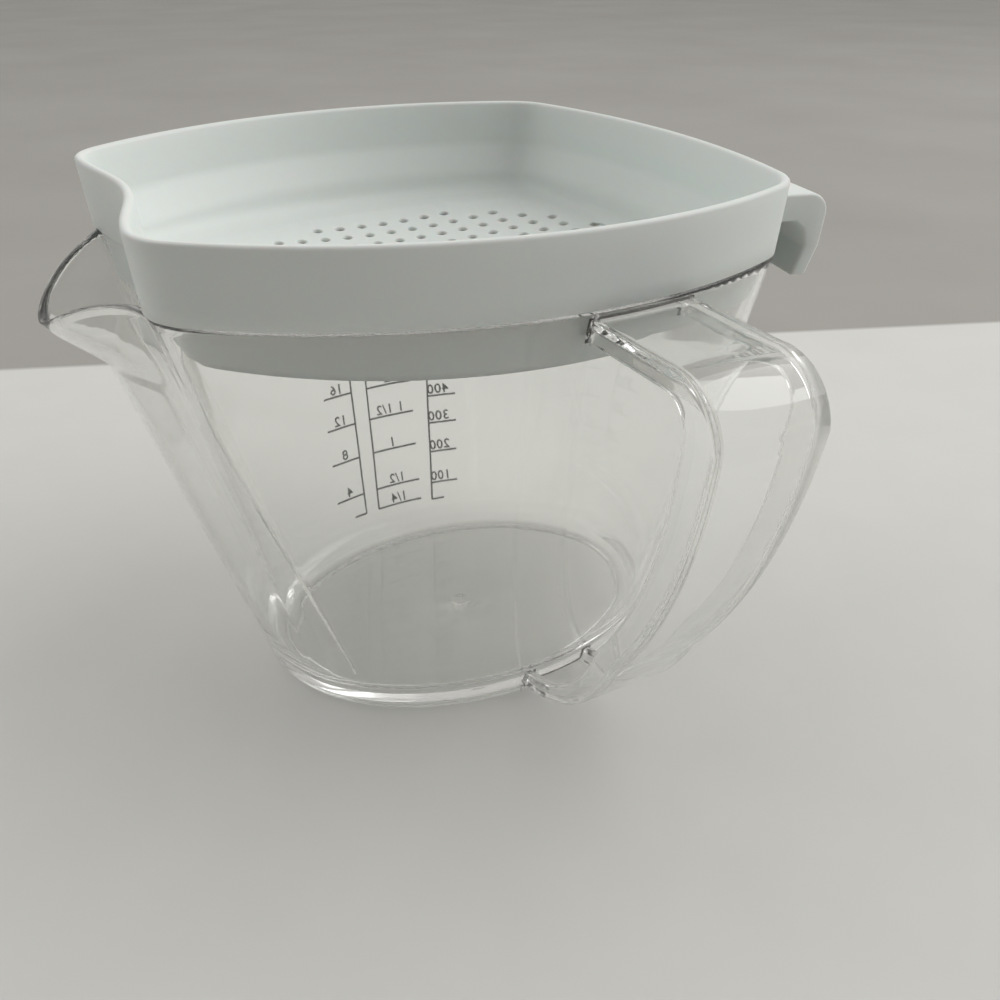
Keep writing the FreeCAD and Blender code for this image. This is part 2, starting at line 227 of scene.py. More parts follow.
def wall_point(i, z, depth=0.0):
    """Point i of the wall at the height z, depth inside its outer face, in 3-D."""
    here = outer_point(i, z)
    along = (outer_point(i + 1, z) - outer_point(i - 1, z)).normalized()
    lean = (outer_point(i, z + 1) - outer_point(i, z - 1)).length / 2
    here += Vector((-along.y, along.x)) * depth * math.sqrt(1 + lean ** 2)
    return Vector((here.x, here.y, z))


def wall_ring(z, depth=0.0):
    return [wall_point(i, z, depth) for i in range(COUNT)]


print("at the rim, the middle of the spout is at x =", round(outer_point(0, jug_height).x, 1))

# %% How far out the long sides stand
SHORT_STEP = 0.02          # neighbours closer than this along X are passed over


@functools.lru_cache(maxsize=None)
def long_side(z, depth):
    """The half of a wall ring with y above 0, as (x, y) pairs from the grip to the spout."""
    return [(p.x, p.y) for p in wall_ring(z, depth)[COUNT // 2:] if p.y > 0]


def wall_y(x, z, depth=0.0):
    """How far the jug's long side stands from its middle at x and z."""
    side = long_side(round(z, 1), depth)
    for (x0, y0), (x1, y1) in zip(side, side[1:]):
        if x1 <= x <= x0 and x0 - x1 > SHORT_STEP:
            return y0 + (y1 - y0) * (x - x0) / (x1 - x0)
    return 0.0


print("at mid height the jug is", round(wall_y(0, 63) * 2, 1), "mm wide")

# %% [markdown]
# ## The dipping lip
#
# The rim is level, but it dips along a circular arc to the tip of the lip. A point of the
# wall leans outwards as it rises, so its rim height is found in a few rounds: take a
# height, see how far out the point then is, and read the arc's height there.

# %% Rim height of each point
def arc_through(a, b, c):
    """Centre and radius of the circle through three points."""
    a, b, c = Vector(a), Vector(b), Vector(c)
    d = 2 * (a.x * (b.y - c.y) + b.x * (c.y - a.y) + c.x * (a.y - b.y))
    aa, bb, cc = a.length_squared, b.length_squared, c.length_squared
    centre = Vector(((aa * (b.y - c.y) + bb * (c.y - a.y) + cc * (a.y - b.y)) / d,
                     (aa * (c.x - b.x) + bb * (a.x - c.x) + cc * (b.x - a.x)) / d))
    return centre, (a - centre).length


RIM_ROUNDS = 30
lip_centre, lip_radius = arc_through(*lip_points)


def rim_height(x):
    if x > lip_points[0][0]:
        return jug_height
    return lip_centre.y + math.sqrt(max(lip_radius ** 2 - (x - lip_centre.x) ** 2, 0.0))


def rim_heights():
    heights = []
    for i in range(COUNT):
        z = jug_height
        for _ in range(RIM_ROUNDS):
            z = (z + rim_height(outer_point(i, z).x)) / 2
        heights.append(z)
    return heights


rim_zs = rim_heights()
print("the lip's tip is at", round(min(rim_zs), 1), "mm")

# %% [markdown]
# ## Growing a shell ring by ring
#
# The jug, the tray and the handle are all stacks of rings. Blender's circle operator makes
# the first ring, and extruding its edges makes the next: `grow` finds each new vertex
# beside its old one and puts it where the outline says. A lathe (the spin operator) would
# be quicker, but it makes round pieces only, and this jug is not round.

# %% Rings, stacks and poles
def first_ring(bm, points):
    """A closed loop of vertices on the given points."""
    ring = bmesh.ops.create_circle(bm, cap_ends=False, segments=len(points), radius=1.0)["verts"]
    for vertex, point in zip(ring, points):
        vertex.co = point
    return ring


def edge_between(a, b):
    return next(edge for edge in a.link_edges if edge.other_vert(a) == b)


def ring_edges(ring):
    return [edge_between(a, b) for a, b in zip(ring, ring[1:] + ring[:1])]


def neighbour(vertex, among):
    """The vertex of the given set that shares an edge with this one."""
    return next(edge.other_vert(vertex) for edge in vertex.link_edges if edge.other_vert(vertex) in among)


def grow(bm, ring, points):
    """Extrudes a loop of vertices and moves the new loop onto the given points."""
    geom = bmesh.ops.extrude_edge_only(bm, edges=ring_edges(ring))["geom"]
    new = {item for item in geom if isinstance(item, bmesh.types.BMVert)}
    following = [neighbour(vertex, new) for vertex in ring]
    for vertex, point in zip(following, points):
        vertex.co = point
    return following


def stack(bm, rings):
    """Grows a shell through all the rings, and returns its loops of vertices."""
    loops = [first_ring(bm, rings[0])]
    for points in rings[1:]:
        loops.append(grow(bm, loops[-1], points))
    return loops


def close_pole(bm, ring):
    """Extrudes a loop and merges the new vertices in its middle."""
    middle = sum((v.co for v in ring), Vector()) / len(ring)
    bmesh.ops.pointmerge(bm, verts=grow(bm, ring, [middle] * len(ring)), merge_co=middle)


print("a ring of the jug takes", COUNT, "vertices")

# %% Finished objects
def new_object(bm, name):
    """Puts a bmesh into the scene as an object."""
    mesh = bpy.data.meshes.new(name)
    bm.to_mesh(mesh)
    bm.free()
    made = bpy.data.objects.new(name, mesh)
    bpy.context.scene.collection.objects.link(made)
    return made


def finish_piece(bm, name, body, slot, *nodes, smooth=True):
    """Turns a bmesh in millimetres into an object that rides on a body."""
    bmesh.ops.recalc_face_normals(bm, faces=bm.faces[:])
    bmesh.ops.scale(bm, vec=(MM, MM, MM), verts=bm.verts[:])
    for face in bm.faces:
        face.smooth = smooth
    piece = new_object(bm, name)
    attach(piece, body)
    if nodes:
        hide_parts(*nodes)
    print(name, "has", len(piece.data.polygons), "faces")
    return piece


print("one millimetre is", MM, "m")

# %% [markdown]
# ## The jug
#
# One closed shell: from the middle of the inside floor, round the inner heel, up the inner
# wall, over the rounded rim, down the outer wall, round the outer heel to the foot ring,
# and across the recess under the base. Clear plastic bends light at every face, so the
# real wall thickness matters here: a single sheet would look like a soap bubble.

# %% Rings drawn in, and round turns
def scaled(points, share, z=None):
    """Points drawn in towards the middle, at the height z if one is given."""
    return [Vector((p.x * share, p.y * share, p.z if z is None else z)) for p in points]


def turn_steps(radius, count):
    """(rise, inset) pairs of a quarter turn, from flat to upright."""
    angles = [math.radians(90 * i / count) for i in range(count + 1)]
    return [(radius * (1 - math.cos(a)), radius * (1 - math.sin(a))) for a in angles]


print("the outer heel starts", turn_steps(outer_heel, 1)[0][1], "mm in")

# %% The rings of the jug's wall
RIM_ROUND, RIM_DEGREES = 0.9, (30, 60, 90)
FLOOR_SHARES = (0.12, 0.4, 0.7, 0.9)
INNER_HEEL_STEPS, STRAIGHT_STEPS, LIP_STEPS, OUTER_HEEL_STEPS = 9, 8, 12, 7
OUTER_HEIGHTS = (flare_start, 88, 74, 60, 46, 32, 18, 8)


def wall_ring_at(heights, depth):
    return [wall_point(i, z, depth) for i, z in enumerate(heights)]


def lip_ring(share, depth):
    """A ring between the start of the flare and the foot of the rounded rim."""
    return wall_ring_at([flare_start + (rim - RIM_ROUND - flare_start) * share for rim in rim_zs], depth)


def rim_ring(degrees, outside):
    """A ring of the rounded rim, on its outer or its inner half."""
    angle = math.radians(degrees)
    rise, inset = RIM_ROUND * math.sin(angle), RIM_ROUND * (1 - math.cos(angle))
    return wall_ring_at([z - RIM_ROUND + rise for z in rim_zs], inset if outside else wall - inset)


def jug_rings():
    """The rings from the inside floor, up over the rim, and down to the foot."""
    heel = [wall_ring(floor_top + rise, wall + inset)
            for rise, inset in turn_steps(inner_heel, INNER_HEEL_STEPS)]
    heel_top = floor_top + inner_heel
    shares = [i / LIP_STEPS for i in range(1, LIP_STEPS + 1)]
    rings = [scaled(heel[0], share, floor_top) for share in FLOOR_SHARES] + heel
    rings += [wall_ring(heel_top + (flare_start - heel_top) * i / STRAIGHT_STEPS, wall)
              for i in range(1, STRAIGHT_STEPS + 1)]
    rings += [lip_ring(share, wall) for share in shares]
    rings += [rim_ring(degrees, False) for degrees in RIM_DEGREES]
    rings += [rim_ring(degrees, True) for degrees in reversed(RIM_DEGREES)]
    rings += [lip_ring(share, 0.0) for share in reversed(shares)]
    rings += [wall_ring(z) for z in OUTER_HEIGHTS]
    foot = reversed(turn_steps(outer_heel, OUTER_HEEL_STEPS))
    rings += [wall_ring(rise, inset) for rise, inset in foot]
    return rings


print("the rim's edges are rounded by", RIM_ROUND, "mm")

# %% Build the jug
RECESS_STEPS = ((0.0, 0.0), (0.3, 0.15), (0.6, 1.6), (1.4, 2.1), (2.6, recess_depth), (20, recess_depth))
GATE_STEPS = ((4.0, recess_depth), (3.2, 1.9), (2.4, 1.8), (1.0, 2.3))      # where the plastic came in


def oval_ring(half_length, half_width, z):
    return [Vector((half_length * math.cos(a), half_width * math.sin(a), z)) for a in rim_angles]


def build_jug():
    recess_length, recess_width = base_half_length - foot_ring_width, base_half_width - foot_ring_width
    rings = jug_rings()
    rings += [oval_ring(recess_length - inset, recess_width - inset, z) for inset, z in RECESS_STEPS]
    rings += [oval_ring(radius, radius, z) for radius, z in GATE_STEPS]
    bm = bmesh.new()
    loops = stack(bm, rings)
    close_pole(bm, loops[-1])
    close_pole(bm, loops[0])
    return finish_piece(bm, "jug_clear", "jug", "clear_plastic", "jug")


jug = build_jug()

# %% [markdown]
# ## The fat baffle
#
# A thin clear wall across the jug, open at its foot: stock passes under it into the spout's
# channel, and fat doesn't. Its edges follow the jug's inner wall, so it is a grid whose
# columns are spread between the two sides at each height, given its thickness by solidify.

# %% The baffle's face
BAFFLE_THICKNESS, BAFFLE_FOOT_X, BAFFLE_FLOOR_GAP = 2.0, -46.0, 9.0
BAFFLE_TOP_SHIFT, BAFFLE_TOP_GAP, BAFFLE_HOLLOW = 1.5, 0.8, 0.5
BAFFLE_ROUNDS = 6


def dish_rise(x, y, depth=0.0):
    """How far the tray's dished floor, or its underside, stands above its lowest point."""
    radius = dish_radius + depth
    return radius - math.sqrt(radius ** 2 - (x - dish_middle_x) ** 2 - y ** 2)


baffle_foot_z = floor_top + BAFFLE_FLOOR_GAP
baffle_top_x = notch_end_x + BAFFLE_TOP_SHIFT
baffle_back_x = notch_end_x + notch_depth + 3 * BAFFLE_THICKNESS
baffle_top_z = floor_z - floor_thickness + dish_rise(baffle_back_x, 0) - BAFFLE_TOP_GAP


def baffle_x(y, z):
    """The baffle leans from its foot out to the tray's notch, and is hollow in its middle."""
    share = (z - baffle_foot_z) / (baffle_top_z - baffle_foot_z)
    hollow = (notch_depth * share + BAFFLE_HOLLOW) * (1 - (y / grip_corner[1]) ** 2)
    return BAFFLE_FOOT_X + (baffle_top_x - BAFFLE_FOOT_X) * share + hollow


def baffle_point(u, v):
    """u runs from -1 to 1 across the jug, v from 0 to 1 up it."""
    z = baffle_foot_z + (baffle_top_z - baffle_foot_z) * v
    x = baffle_x(0, z)
    for _ in range(BAFFLE_ROUNDS):
        half = wall_y(x + BAFFLE_THICKNESS * (u > 0), z, wall + bond_gap)
        x = baffle_x(u * half, z)
    return Vector((x, u * half, z))


print("the baffle stands from", baffle_foot_z, "to", round(baffle_top_z, 1), "mm")

# %% Build the baffle
BAFFLE_ROWS, BAFFLE_COLUMNS = 24, 24
BAFFLE_EDGE, BAFFLE_CREASE = 0.3, 1.0          # the edges' rounding, and the angle that counts as one


def soften(bm, edges, offset, segments):
    """Rounds the given edges."""
    bmesh.ops.bevel(bm, geom=edges, affect="EDGES", offset=offset, segments=segments,
                    profile=0.5, material=-1)


def build_baffle():
    bm = bmesh.new()
    bmesh.ops.create_grid(bm, x_segments=BAFFLE_COLUMNS, y_segments=BAFFLE_ROWS, size=1.0)
    for vertex in bm.verts:
        vertex.co = baffle_point(vertex.co.x, (vertex.co.y + 1) / 2)
    bmesh.ops.solidify(bm, geom=bm.faces[:], thickness=-BAFFLE_THICKNESS)
    soften(bm, [e for e in bm.edges if e.calc_face_angle(0) > BAFFLE_CREASE], BAFFLE_EDGE, 2)
    return finish_piece(bm, "fat_baffle_clear", "jug", "clear_plastic", "fat_baffle")


baffle = build_baffle()

# %% [markdown]
# ## The strainer tray
#
# A white moulding whose basin hangs inside the jug while its skirt stands on the rim. It is
# grown ring by ring like the jug, but as one open band: underside of the basin, outer wall,
# step, skirt, rounded top edge, and down the inside to the floor. The two floors with their
# holes come next and close the band.

# %% Rings of the skirt and of the basin
TURN_STEPS = 6
plan_length = grip_corner[0] - spout_corner[0]


def level(z):
    return [z] * COUNT


def drawn_in(inset):
    """The share that draws an outline in by an inset at its two ends."""
    return 1 - inset * 2 / plan_length


def skirt_ring(z, depth=0.0):
    """The skirt's wall, which leans outwards up to its top edge."""
    shift = depth - tray_draft * (z - rest_z) / (tray_top - rest_z)
    points = []
    for i, p in enumerate(tray_rim):
        along = (tray_rim[(i + 1) % COUNT] - tray_rim[i - 1]).normalized()
        points.append(Vector((p.x - along.y * shift, p.y + along.x * shift, z)))
    return points


def basin_ring(heights, depth=0.0, inset=0.0):
    """The basin's wall, clear of the jug's wall and of the open throat at the spout."""
    share = drawn_in(inset)
    points = []
    for i, z in enumerate(heights):
        p = wall_point(i, z, wall + tray_fit + depth)
        clear = throat_fit * smooth_step(-p.x, -spout_corner[0] / 2, -spout_corner[0])
        x = max(p.x + clear, notch(p.y) + depth + notch_step)
        points.append(Vector((x * share, p.y * share, z)))
    return points


def basin_turn(depth, floor_depth, radius):
    """Rings of the round turn from the floor up into the basin's wall, from the bottom."""
    edge = basin_ring(level(jug_height - tray_fit), depth)
    rings = []
    for rise, inset in turn_steps(radius, TURN_STEPS):
        lowest = floor_z + rise - floor_depth
        heights = [lowest + dish_rise(p.x, p.y) for p in scaled(edge, drawn_in(inset))]
        rings.append(basin_ring(heights, depth, inset))
    return rings


print("the tray's plan is", plan_length, "mm from corner to corner")

# %% All rings of the tray's walls
TRAY_ROUND, STEP_RISE, SEAT_EDGE = 1.0, 0.4, 0.25
OUTER_SHARES, SEAT_SHARES, SKIRT_SHARES = (0.3, 0.6, 0.9, 1.0), (0.5, 0.9), (0.25, 0.5, 0.75, 1.0)
EDGE_DEGREES = (30, 60, 90, 120, 150)
INNER_HEIGHTS = (tray_top - TRAY_ROUND, 140, 136, shoulder_end + 1)
SHOULDER_SHARES, INNER_SHARES = (1, 0.8, 0.6, 0.4, 0.2, 0), (0.5, 1.0)


def mixed(low, high, share):
    return [a.lerp(b, share) for a, b in zip(low, high)]


def top_edge_ring(degrees):
    """A ring of the rounded top edge, which is outside up to 90 degrees and inside after that."""
    angle = math.radians(degrees)
    side = TRAY_ROUND * (1 - math.cos(angle)) + (tray_wall - 2 * TRAY_ROUND) * (degrees > 90)
    return skirt_ring(tray_top - TRAY_ROUND + TRAY_ROUND * math.sin(angle), side)


def shoulder_ring(step, ledge, share):
    """A ring of the soft slope from the step's foot up to its ledge."""
    return mixed(step, ledge, smooth_step(share, 0, 1) * 0.5 + share * 0.5)


def tray_wall_rings():
    """From the underside's turn, up the outside, over the top edge and down the inside."""
    under = basin_turn(0.0, floor_thickness, outer_floor_turn)
    inside = basin_turn(tray_wall, 0.0, inner_floor_turn)
    wall_top = basin_ring(level(rest_z))
    rings = under + [mixed(under[-1], wall_top, share) for share in OUTER_SHARES]
    rings += [mixed(wall_top, skirt_ring(rest_z), share) for share in SEAT_SHARES]
    rings += [skirt_ring(rest_z + SEAT_EDGE)]
    rings += [skirt_ring(rest_z + (tray_top - TRAY_ROUND - rest_z) * share) for share in SKIRT_SHARES]
    rings += [top_edge_ring(degrees) for degrees in EDGE_DEGREES]
    rings += [skirt_ring(z, tray_wall) for z in INNER_HEIGHTS]
    # In the far corners the dished floor is higher than the step's foot, which has to follow it.
    step = basin_ring([max(shoulder_start, p.z + STEP_RISE) for p in inside[-1]], tray_wall)
    ledge = skirt_ring(shoulder_end, tray_wall)
    rings += [shoulder_ring(step, ledge, share) for share in SHOULDER_SHARES]
    rings += [mixed(step, inside[-1], share) for share in INNER_SHARES]
    return rings + list(reversed(inside[:-1]))


tray_rings = tray_wall_rings()
print("the tray's walls are", len(tray_rings), "rings")

# %% [markdown]
# ### The floor and its holes
#
# Over two hundred round holes sit on a square grid inside a circle. Cutting them with
# booleans would be slow and would leave ragged faces, so the floor is laid out flat: each
# hole is a circle, the plain area between the circles and the wall is filled with triangles,
# and each sheet is then raised onto the dish. One sheet is the floor's top. The other, a
# little wider so that the holes stand square to the dish, is its underside, and bridging
# each pair of circles makes the wall of a hole.

# %% Lay out the holes
HOLE_RADIUS, HOLE_PITCH, FIELD_RADIUS, HOLE_SIDES = 1.55, 7.1, 60.0, 16
COLLAR = 0.5          # width of the plain ring round each hole
LONG_EDGE = 9.0       # edges longer than this are cut in three, so that the sheet can bend


def hole_centres():
    reach = int(FIELD_RADIUS / HOLE_PITCH) + 1
    steps = range(-reach, reach + 1)
    grid = [(i * HOLE_PITCH, (j + 0.5) * HOLE_PITCH) for i in steps for j in steps]
    return [p for p in grid if math.hypot(*p) < FIELD_RADIUS]


print(len(hole_centres()), "holes")

# %% Fill the two sheets and join them
def lay_floor(bm, border, depth, z):
    """Fills one face of the floor with triangles, flat at z. Returns the places of its loops."""
    spread = (dish_radius + depth) / dish_radius
    loops = [[Vector((p.x, p.y, z)) for p in border]]
    angles = [math.tau * k / HOLE_SIDES for k in range(HOLE_SIDES)]
    for x, y in hole_centres():
        middle = Vector((dish_middle_x + (x - dish_middle_x) * spread, y * spread, z))
        loops += [[middle + Vector((math.cos(a), math.sin(a), 0)) * radius for a in angles]
                  for radius in (HOLE_RADIUS + COLLAR, HOLE_RADIUS)]
    rings = [first_ring(bm, points) for points in loops]
    edges = [edge for ring in rings[:1] + rings[1::2] for edge in ring_edges(ring)]
    filled = bmesh.ops.triangle_fill(bm, use_beauty=True, edges=edges)["geom"]
    cut_edges = [e for e in filled if isinstance(e, bmesh.types.BMEdge) and e.calc_length() > LONG_EDGE]
    bmesh.ops.bisect_edges(bm, edges=cut_edges, cuts=2)
    bmesh.ops.triangulate(bm, faces=[face for face in bm.faces if len(face.verts) > 3])
    return loops


def loops_at(bm, loops):
    """The vertices at the given places. Cutting edges makes Blender lose track of the old ones."""
    places = {vertex.co.to_tuple(): vertex for vertex in bm.verts}
    return [[places[point.to_tuple()] for point in points] for points in loops]


def make_floor(bm, under_border, top_border):
    """Both faces of the floor, raised onto the dish, with the walls of the holes."""
    low_loops = lay_floor(bm, under_border, floor_thickness, -1.0)
    high_loops = lay_floor(bm, top_border, 0.0, 1.0)
    low, high = loops_at(bm, low_loops), loops_at(bm, high_loops)
    for vertex in bm.verts:
        depth = floor_thickness if vertex.co.z < 0 else 0.0
        vertex.co.z = floor_z - depth + dish_rise(vertex.co.x, vertex.co.y, depth)
    pairs = list(zip(low[1::2], low[2::2])) + list(zip(high[1::2], high[2::2]))
    for first, second in pairs + list(zip(low[2::2], high[2::2])):
        bmesh.ops.bridge_loops(bm, edges=ring_edges(first) + ring_edges(second))
    return low[0], high[0]


print("each sheet has", 2 * len(hole_centres()) + 1, "loops")

# %% [markdown]
# ### The grip
#
# At the far end a lip reaches out from the skirt and turns down over the jug's end, so two
# fingers can lift the tray. Its section is drawn once and swept along the end's own bow:
# the same `grow` that stacks rings upwards also strings sections along a curve.

# %% The grip
GRIP_HALF_WIDTH, GRIP_REACH, GRIP_THICKNESS, GRIP_ARM = 50.0, 20.8, 5.2, 7.0
GRIP_TOP, GRIP_BOTTOM = jug_height + 9.6, jug_height - 12.0
GRIP_ROUND, GRIP_LEAN, GRIP_LEAN_HEIGHT, GRIP_DRAFT = 5.0, 4.0, 8.0, 1.0
GRIP_STEPS, NOSE_STEPS = 30, 6
GRIP_EDGE, GRIP_CREASE = 0.8, 0.5

bow_radius = (grip_corner[1] ** 2 + end_bulge ** 2) / (2 * end_bulge)
end_wall_x = grip_corner[0] + end_bulge


def grip_section():
    """(x, z) of the section's corners, with a round nose."""
    root, tip = end_wall_x - tray_wall / 2, end_wall_x + GRIP_REACH
    inner, knee, under = tip - GRIP_THICKNESS, GRIP_BOTTOM + GRIP_LEAN_HEIGHT, GRIP_TOP - GRIP_ARM
    nose_x, nose_z = tip - GRIP_ROUND, GRIP_TOP - GRIP_ROUND
    angles = [math.pi / 2 / NOSE_STEPS * k for k in range(NOSE_STEPS + 1)]
    nose = [(nose_x + GRIP_ROUND * math.sin(a), nose_z + GRIP_ROUND * math.cos(a)) for a in angles]
    hook = [(tip - GRIP_DRAFT, knee), (tip - GRIP_LEAN, GRIP_BOTTOM),
            (inner + GRIP_DRAFT - GRIP_LEAN, GRIP_BOTTOM), (inner, knee)]
    arm = [(inner - GRIP_DRAFT, under - 2 * GRIP_DRAFT), (inner - 3 * GRIP_DRAFT, under), (root, under)]
    return [(root, GRIP_TOP)] + nose + hook + arm


def grip_ring(angle):
    """The section, turned by an angle round the middle of the end's bow."""
    middle_x = end_wall_x - bow_radius
    return [Vector((middle_x + (x - middle_x) * math.cos(angle), (x - middle_x) * math.sin(angle), z))
            for x, z in grip_section()]


def close_ends(bm, loops):
    """Fills the first and the last loop of a stack."""
    for loop in (loops[0], loops[-1]):
        bmesh.ops.contextual_create(bm, geom=ring_edges(loop))


def add_grip(bm):
    """Adds the grip to the tray's mesh and rounds its edges."""
    half_angle = math.asin(GRIP_HALF_WIDTH / (bow_radius + GRIP_REACH / 2))
    angles = [half_angle * (2 * i / GRIP_STEPS - 1) for i in range(GRIP_STEPS + 1)]
    loops = stack(bm, [grip_ring(angle) for angle in angles])
    close_ends(bm, loops)
    members = {vertex for loop in loops for vertex in loop}
    hard = [e for e in bm.edges if members.issuperset(e.verts) and e.calc_face_angle(0) > GRIP_CREASE]
    soften(bm, hard, GRIP_EDGE, 3)


print("the grip's section has", len(grip_section()), "corners")

# %% [markdown]
# ### The whole tray
#
# The real tray is one moulding. The walls grow from the underside's border, loop by loop,
# until one bridge joins them to the floor's top. The grip is laid into the same mesh as a
# closed shape of its own, a little way into the skirt, which is simpler than welding it to
# the wall and looks the same.

# %% Build the tray
def build_tray():
    bm = bmesh.new()
    ring, inside = make_floor(bm, tray_rings[0], tray_rings[-1])
    for points in tray_rings[1:-1]:
        ring = grow(bm, ring, points)
    bmesh.ops.bridge_loops(bm, edges=ring_edges(ring) + ring_edges(inside))
    add_grip(bm)
    return finish_piece(bm, "strainer_tray", "strainer", "white_plastic", "strainer")


tray = build_tray()

# %% [markdown]
# ## The handle
#
# One clear moulding with a U section: the web faces outwards, and two side flanges point
# to the jug. Its side view is a flat thumb plate, a tight turn and a long strap in
# circular arcs, so three lines drawn side by side (the web's outer face, its inner face
# and the flanges' edge) give all eight corners of the section at every station. Each
# corner's line is cut where it meets the jug, so the ends sit flat against the wall.

# %% Side view of the handle
HANDLE_X, HANDLE_TOP_WIDTH, HANDLE_FOOT_WIDTH = 9.0, 27.5, 22.0
HANDLE_DEPTH, PLATE_DEPTH, HANDLE_WEB, HANDLE_FLANGE = 10.0, 5.5, 2.8, 2.8
HANDLE_TOP_Z, PLATE_END_Y, REACH_Y, REACH_Z = 124.6, -104.0, -119.8, 112.0
BELLY, KNEE, SHIN, FOOT = (-111.8, 81.0), (-89.7, 40.0), (-70.5, 15.6), (-35.0, 1.6)
# How far an inner line stands from the outer one at these points, for each mm of depth.
BELLY_IN, KNEE_IN, SHIN_IN, FOOT_IN = (0.85, 0.0), (0.6, 0.35), (0.3, 0.45), (0.0, 0.5)
BEND_SHARE = 0.72          # how far the turn's middle reaches out to its sharp corner


def moved_in(point, share, depth):
    return point[0] + share[0] * depth, point[1] + share[1] * depth


def strap_lines(depth, plate_depth):
    """A line of the side view, depth inside the outer one: the plate's end and three (y, z) arcs."""
    plate_end = (PLATE_END_Y, HANDLE_TOP_Z - plate_depth)
    reach = (REACH_Y + depth, REACH_Z)
    bend = (plate_end[0] + BEND_SHARE * (reach[0] - plate_end[0]),
            reach[1] + BEND_SHARE * (plate_end[1] - reach[1]))
    belly, knee = moved_in(BELLY, BELLY_IN, depth), moved_in(KNEE, KNEE_IN, depth)
    shin, foot = moved_in(SHIN, SHIN_IN, depth), moved_in(FOOT, FOOT_IN, depth)
    return plate_end, (plate_end, bend, reach), (reach, belly, knee), (knee, shin, foot)


def arc_points(a, b, c, count):
    """Points along the arc from a over b to c."""
    centre, radius = arc_through(a, b, c)
    start, middle, end = (math.atan2(p[1] - centre.y, p[0] - centre.x) for p in (a, b, c))
    sweep = (end - start) % math.tau
    if (middle - start) % math.tau > sweep:
        sweep -= math.tau
    angles = [start + sweep * i / count for i in range(count + 1)]
    return [centre + radius * Vector((math.cos(angle), math.sin(angle))) for angle in angles]


print("the handle reaches out to y =", REACH_Y, "mm")

# %% The section's corners, from the wall at the top to the wall at the foot
PLATE_STEPS, BEND_STEPS, STRAP_STEPS, SHIN_STEPS, FINE_STEPS = 8, 12, 26, 20, 240
TAPER_FOOT_Z = -5.0          # the handle widens evenly from this height up to its reach


def handle_half_width(z):
    share = min(max((z - TAPER_FOOT_Z) / (REACH_Z - TAPER_FOOT_Z), 0.0), 1.0)
    return (HANDLE_FOOT_WIDTH + (HANDLE_TOP_WIDTH - HANDLE_FOOT_WIDTH) * share) / 2


def outside_jug(point):
    return -point.y > wall_y(point.x, point.z) + bond_gap


def corner_line(depth, plate_depth, side, inset):
    """Points of one corner of the section, on the side -1 or 1 and inset from its edge."""
    plate_end, bend, strap, shin = strap_lines(depth, plate_depth)

    def place(y, z):
        return Vector((HANDLE_X + side * (handle_half_width(z) - inset), y, z))

    top = place(0, plate_end[1])
    start_y = -(wall_y(top.x, plate_end[1]) + bond_gap)
    line = [place(start_y + (plate_end[0] - start_y) * i / PLATE_STEPS, plate_end[1])
            for i in range(PLATE_STEPS)]
    line += [place(*p) for p in arc_points(*bend, BEND_STEPS)[:-1] + arc_points(*strap, STRAP_STEPS)[:-1]]
    outside = [p for p in (place(*p) for p in arc_points(*shin, FINE_STEPS)) if outside_jug(p)]
    return line + [outside[round(i / SHIN_STEPS * (len(outside) - 1))] for i in range(SHIN_STEPS + 1)]


print("each corner's line has", len(corner_line(0, 0, 1, 0)), "points")

# %% Build the handle
HANDLE_EDGE, HANDLE_CREASE = 0.7, 0.6


def handle_stations():
    """The eight corners of the section, all the way along the handle."""
    face, web, flange = (0, 0), (HANDLE_WEB, HANDLE_WEB), (HANDLE_DEPTH, PLATE_DEPTH)
    section = ((face, -1, 0), (face, 1, 0),
               (flange, 1, 0), (flange, 1, HANDLE_FLANGE), (web, 1, HANDLE_FLANGE),
               (web, -1, HANDLE_FLANGE), (flange, -1, HANDLE_FLANGE), (flange, -1, 0))
    corners = [corner_line(*depths, side, inset) for depths, side, inset in section]
    return [list(points) for points in zip(*corners)]


def build_handle():
    bm = bmesh.new()
    loops = stack(bm, stations)
    close_ends(bm, loops)
    ends = set(loops[0]) | set(loops[-1])
    hard = [e for e in bm.edges if e.calc_face_angle(0) > HANDLE_CREASE and not ends.issuperset(e.verts)]
    soften(bm, hard, HANDLE_EDGE, 3)
    return finish_piece(bm, "handle_clear", "jug", "clear_plastic", "handle")


stations = handle_stations()
handle = build_handle()

# %% [markdown]
# ## The scales
#
# The volume marks are printed on the outside of the wall that faces away from the handle,
# so they read through the jug as mirror images. The numbers are text objects turned into
# meshes; lines are narrow grids. Everything is laid out flat, then wrapped onto the wall.
# The height of each mark isn't set by hand: the jug's own outlines are stacked to find how
# high each volume stands. The real marks stand a little higher than these outlines say, for
# a reason that isn't known, so one share, fitted to their heights, makes up for it. The
# three columns lean apart a little as they rise.

# %% How high a volume stands
ROOM_SHARE = 1.07          # fitted: the real marks stand where the outlines hold 7 % more
FILL_STEP = 1.0


def ring_area(ring):
    return abs(sum(a.x * b.y - b.x * a.y for a, b in zip(ring, ring[1:] + ring[:1]))) / 2


def fill_heights():
    """(volume in ml, height) pairs, from the inside floor up."""
    z, volume, table = floor_top, 0.0, [(0.0, floor_top)]
    while z < jug_height - FILL_STEP:
        middle = z + FILL_STEP / 2
        rise, depth = middle - floor_top, wall
        if rise < inner_heel:
            depth += inner_heel - math.sqrt(inner_heel ** 2 - (inner_heel - rise) ** 2)
        volume += ring_area(wall_ring(middle, depth)) * FILL_STEP / 1000
        z += FILL_STEP
        table.append((volume, z))
    return table


fill_table = fill_heights()


def height_of(volume):
    volume *= ROOM_SHARE
    for (v0, z0), (v1, z1) in zip(fill_table, fill_table[1:]):
        if v0 <= volume <= v1:
            return z0 + (z1 - z0) * (volume - v0) / (v1 - v0)
    return fill_table[-1][1]


